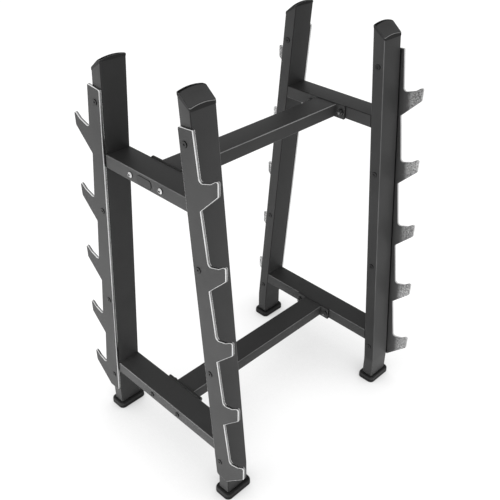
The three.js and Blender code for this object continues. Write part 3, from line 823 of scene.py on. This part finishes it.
def flange_mesh(tier):
    outline = rectangle(2 * (BOLT_Y + BOLT_TO_EDGE), TUBE_D + 2 * FLANGE_OVER, FLANGE_R)[0]
    return slab_mesh(f"{tier}_flange_skin", outline, FLANGE_SEAT, FLANGE_T, FLANGE_BEVEL, FLANGE_BORDER,
                     FLANGE_EDGE_SHADE)


def badge_mesh():
    outline = rectangle(BADGE_W, BADGE_H, BADGE_R)[0]
    return slab_mesh("badge_skin", outline, 0.0, BADGE_T, BADGE_BEVEL, BADGE_BORDER, BADGE_OUTLINE_SHADE)


def weld(name, path, normal, size):
    """A rippled weld bead along a path of points, standing proud along normal."""
    rings = []
    last = len(path) - 1
    up = Vector(normal).normalized()
    for i, p in enumerate(path):
        along = (Vector(path[min(last, i + 1)]) - Vector(path[max(0, i - 1)])).normalized()
        sideways = along.cross(up).normalized()
        ripple = 1.0 + sum(share * math.sin(i * pace + start) for share, pace, start in RIPPLES)
        r = size * ripple * min(1.0, TAPER_SHARE + min(i, last - i) * TAPER_STEP)
        turns = [2 * math.pi * k / WELD_SIDES for k in range(WELD_SIDES)]
        rings.append([Vector(p) + sideways * r * math.cos(t) + up * r * math.sin(t) for t in turns])
    bead = build(name, rings, lambda j, i: WELD_SHADE, sharp=80)
    place(f"{name}_bead", bead, None, [COAT])


def weld_run(half, steps):
    return [-half + 2 * half * k / steps for k in range(steps + 1)]


def weld_crossmember(side, tier, under):
    """Beads along the top and the bottom of both ends of a crossmember."""
    for end, sy in ENDS.items():
        for where, up in (("top", 1), ("bottom", -1)):
            z = under + HALF_D + up * HALF_D
            y = sy * (inner_edge(z) - WELD_IN)
            run = weld_run(WELD_HALF, WELD_STEPS)
            path = [(SIDES[side] * FRAME_X + along, y, FOOT_H + z + up * WELD_OUT) for along in run]
            weld(f"{side}_{tier}_{end}_weld_{where}", path, (0, -sy, up), WELD_R)


def weld_spreader(side, tier, mid):
    """Beads round one end of a spreader, on its flange."""
    sx = SIDES[side]
    x = sx * (FRAME_X - NUT_SEAT)
    for where, up in (("top", 1), ("bottom", -1)):
        path = [(x, along, mid + up * HALF_D) for along in weld_run(WELD_HALF, WELD_STEPS)]
        weld(f"{side}_{tier}_flange_weld_{where}", path, (-sx, 0, up), FLANGE_WELD_R)
    for where, sy in ENDS.items():
        path = [(x, sy * HALF_W, mid + along) for along in weld_run(SHORT_WELD_HALF, SHORT_WELD_STEPS)]
        weld(f"{side}_{tier}_flange_weld_{where}", path, (-sx, sy, 0), FLANGE_WELD_R)


# The rack put together

# Degrees by which the fixings of a plate are turned from one to the next, with steps for the front or back and
# for the left or right frame, the same steps for the bolts, and the share of a bolt's turn that its nut has
FIXING_TURN, FIXING_END_TURN, FIXING_SIDE_TURN = 17, 23, 11
BOLT_END_TURN, BOLT_SIDE_TURN, NUT_TURN = 19, 31, 0.7


def leg_matrix(side, end, y=0.0, z=0.0):
    turn = 0.0 if end == "front" else math.pi
    return move(SIDES[side] * FRAME_X, 0, FOOT_H, turn) @ Matrix.Translation(Vector((0, y, z)) * MM)


cap_skin = cap_mesh()
foot_skin = foot_mesh()
fixing_skin = fixing_mesh()
bolt_skin = bolt_mesh()
zinc_skin = bolt_skin.copy()
nut_skin = nut_mesh()


def dress_upright(side, end):
    """An upright with its foot, its cap, its hook plate and the fixings of the plate."""
    leg = f"{side}_{end}"
    sx, sy = SIDES[side], ENDS[end]
    place(f"{leg}_upright_finish", leg_mesh(leg), f"{leg}_upright", [COAT],
          leg_matrix(side, end))
    place(f"{leg}_foot_finish", foot_skin, f"{leg}_foot", [RUBBER],
          leg_matrix(side, end, -leg_centre(0)))
    place(f"{leg}_cap_finish", cap_skin, f"{leg}_cap", [CAP],
          leg_matrix(side, end, -leg_centre(RISE), RISE))
    # in the order of the slots FACE, SIDE, INNER, CORNER and the lit strip. CORNER takes a painted highlight
    # line, and the lit cut edge, a lighter copy of the cut edge, is painted highlight.
    left_finish = [PLATE, CUT_EDGE, HOOK_STEEL, HIGHLIGHT_LINE, LIT_CUT_EDGE]
    right_finish = [PLATE, LIT_CUT_EDGE, HOOK_STEEL, HIGHLIGHT_LINE]
    place(f"{leg}_hook_plate_finish", plate_mesh(side, end), f"{leg}_hook_plate",
          left_finish if side == "left" else right_finish, move(0, 0, FOOT_H))
    for k, z in enumerate(FIXINGS):
        turn = 0.0 if side == "left" else math.pi
        roll = math.radians(FIXING_TURN * k + FIXING_END_TURN * (sy + 1) + FIXING_SIDE_TURN * (sx + 1))
        place(f"{leg}_fixing_{k + 1}_finish", fixing_skin, f"{leg}_plate_fixing_{k + 1}",
              [BLACK], move(sx * FRAME_X, sy * leg_centre(z), FOOT_H + z, turn, roll))


def dress_joint(side, tier, cross_skin, flange_skin, mid):
    """A crossmember, the flange on its inner side, and the bolts and nuts that join them."""
    sx = SIDES[side]
    turn = 0.0 if side == "left" else math.pi
    at_side = f"{side}_{tier}"
    place(f"{at_side}_crossmember_finish", cross_skin, f"{at_side}_crossmember", [COAT],
          move(sx * FRAME_X, 0, FOOT_H, turn))
    place(f"{at_side}_flange_finish", flange_skin, f"{at_side}_flange", [COAT],
          move(sx * FRAME_X, 0, mid, turn))
    bright = side == "left" and tier == "upper"
    for end, sy in ENDS.items():
        roll = math.radians(BOLT_END_TURN * (sy + 2) + BOLT_SIDE_TURN * (sx + 1))
        at_end = f"{at_side}_{end}"
        place(f"{at_end}_bolt_finish", zinc_skin if bright else bolt_skin, f"{at_end}_bolt",
              [ZINC if bright else BLACK],
              move(sx * FRAME_X, sy * BOLT_Y, mid, turn, roll))
        place(f"{at_end}_nut_finish", nut_skin, f"{at_end}_nut", [BLACK],
              move(sx * (FRAME_X - NUT_SEAT), sy * BOLT_Y, mid, turn, roll * NUT_TURN))


def dress_tier(tier, under):
    """The crossmembers at one height, and the spreader between them."""
    cross_skin = crossmember_mesh(tier, under)
    flange_skin = flange_mesh(tier)
    mid = under + HALF_D + FOOT_H
    for side in SIDES:
        dress_joint(side, tier, cross_skin, flange_skin, mid)
    place(f"{tier}_spreader_finish", spreader_mesh(tier), f"{tier}_spreader", [COAT],
          move(0, 0, mid))
    for side in SIDES:
        weld_crossmember(side, tier, under)
        weld_spreader(side, tier, mid)


for side in SIDES:
    for end in ENDS:
        dress_upright(side, end)
dress_tier("upper", UPPER_BAR)
dress_tier("lower", LOWER_BAR)
place("blank_badge", badge_mesh(), None, [BADGE],
      move(-SPAN / 2 - BADGE_T - BADGE_GAP, BADGE_Y, FOOT_H + UPPER_BAR + HALF_D - BADGE_DROP))


# Stage

FLOOR_SIZE, FLOOR_LEVEL, FLOOR_DIFFUSE, FLOOR_GLOW = 60, 0.8, 0.10, 1.06
SHADOW_REACH, SHADOW_SAMPLES, SHADOW_POWER = 0.5, 16, 0.75
# levels of the dome by height, and its strength from one side to the other
DOME_LEVELS = [(0.0, 0.55), (0.8, 0.08)]
DOME_FROM, DOME_TO, DOME_WEAK, DOME_STRONG = -0.6, 0.9, 0.5, 1.4


def seen_or_lit(tree, seen, lit):
    """seen where the camera, a reflection or glass looks; lit for everything else."""
    path = add_node(tree, "LightPath").outputs
    looks = maths(tree, "MAXIMUM", path["Is Camera Ray"], path["Is Glossy Ray"])
    looks = maths(tree, "MAXIMUM", looks, path["Is Transmission Ray"])
    return add_node(tree, "MixShader", {0: looks, 1: lit, 2: seen}).outputs[0]


def floor_material():
    """Pale to the light. To the camera white, with a soft shadow where the rack hides the open sky."""
    made = bpy.data.materials.new("pale_floor")
    tree = empty_tree(made)
    plain = add_node(tree, "BsdfDiffuse", {0: grey(FLOOR_LEVEL)})
    shown = add_node(tree, "BsdfDiffuse", {0: grey(FLOOR_DIFFUSE)})
    open_sky = add_node(tree, "AmbientOcclusion", {"Distance": SHADOW_REACH}, samples=SHADOW_SAMPLES)
    softer = maths(tree, "POWER", open_sky.outputs["AO"], SHADOW_POWER)
    glow = add_node(tree, "Emission", {0: grey(1), 1: maths(tree, "MULTIPLY", softer, FLOOR_GLOW)})
    seen = add_node(tree, "AddShader", {0: shown.outputs[0], 1: glow.outputs[0]})
    add_node(tree, "OutputMaterial", {0: seen_or_lit(tree, seen.outputs[0], plain.outputs[0])})
    return made


def studio():
    """A soft dome that is brighter near the floor and towards +X and +Y, and white to the camera."""
    world = bpy.data.worlds.new("studio")
    tree = empty_tree(world)
    coord = add_node(tree, "TexCoord")
    toward = add_node(tree, "SeparateXYZ", {0: coord.outputs["Generated"]}).outputs
    height = ramp(tree, toward["Z"], DOME_LEVELS)
    aside = maths(tree, "ADD", toward["X"], toward["Y"])
    strength = mapped(tree, aside, DOME_FROM, DOME_TO, DOME_WEAK, DOME_STRONG)
    dome = add_node(tree, "Background", {0: height, 1: strength})
    white = add_node(tree, "Background", {0: grey(1), 1: 1.0})
    add_node(tree, "OutputWorld", {0: seen_or_lit(tree, white.outputs[0], dome.outputs[0])})
    return world


bpy.ops.mesh.primitive_plane_add(size=FLOOR_SIZE, location=(0, 0, 0))
floor = bpy.context.object
floor.name = "floor"
floor.data.materials.append(floor_material())
scene.world = studio()


# Lamps, in metres and watts

def lamp(name, at, aim, size, power):
    light = bpy.data.lights.new(name, "AREA")
    light.shape = "RECTANGLE"
    light.size, light.size_y = size
    light.energy = power
    made = bpy.data.objects.new(name, light)
    scene.collection.objects.link(made)
    made.location = at
    made.rotation_euler = (Vector(aim) - Vector(at)).to_track_quat("-Z", "Y").to_euler()
    made.visible_glossy = False
    made.visible_camera = False


lamp("key_left", (-2.4, 0.2, 1.3), (0, 0, 0.95), (1.6, 1.4), 47.0)
lamp("key_low", (-1.6, 0.1, 0.2), (-0.5, 0.1, 0.2), (0.8, 0.3), 9.5)
lamp("fill_front", (-0.45, -1.45, 1.15), (-0.4, 0, 1.05), (0.5, 1.5), 6.2)
lamp("low_front", (0.42, -0.72, 0.1), (0.45, -0.33, 0.08), (0.25, 0.1), 0.75)
lamp("fill_right", (0.5, -1.45, 0.95), (0.45, 0, 0.9), (0.5, 1.5), 6.2)


# Camera, fitted to the photo, in metres and radians, its lens and sensor in millimetres

LENS, SENSOR, FAR_CLIP = 51.3082, 36.0, 200.0
AZIMUTH, ELEVATION, ROLL = -0.7881688, 0.5891262, 0.0045718
AIM = Vector((-0.022573, 0.0033807, 0.7461748))
DISTANCE = 2.8208037

cam_data = bpy.data.cameras.new("camera")
cam_data.lens = LENS
cam_data.sensor_width = SENSOR
cam_data.sensor_fit = "HORIZONTAL"
cam_data.clip_end = FAR_CLIP
camera = bpy.data.objects.new("camera", cam_data)
scene.collection.objects.link(camera)
behind = Vector((
    math.sin(AZIMUTH) * math.cos(ELEVATION),
    -math.cos(AZIMUTH) * math.cos(ELEVATION),
    math.sin(ELEVATION),
))
level_right = (-behind).cross(Vector((0, 0, 1))).normalized()
level_up = level_right.cross(-behind).normalized()
cam_right = level_right * math.cos(ROLL) + level_up * math.sin(ROLL)
cam_up = level_up * math.cos(ROLL) - level_right * math.sin(ROLL)
cam_axes = Matrix((cam_right, cam_up, behind)).transposed().to_4x4()
camera.matrix_world = Matrix.Translation(AIM + behind * DISTANCE) @ cam_axes
scene.camera = camera
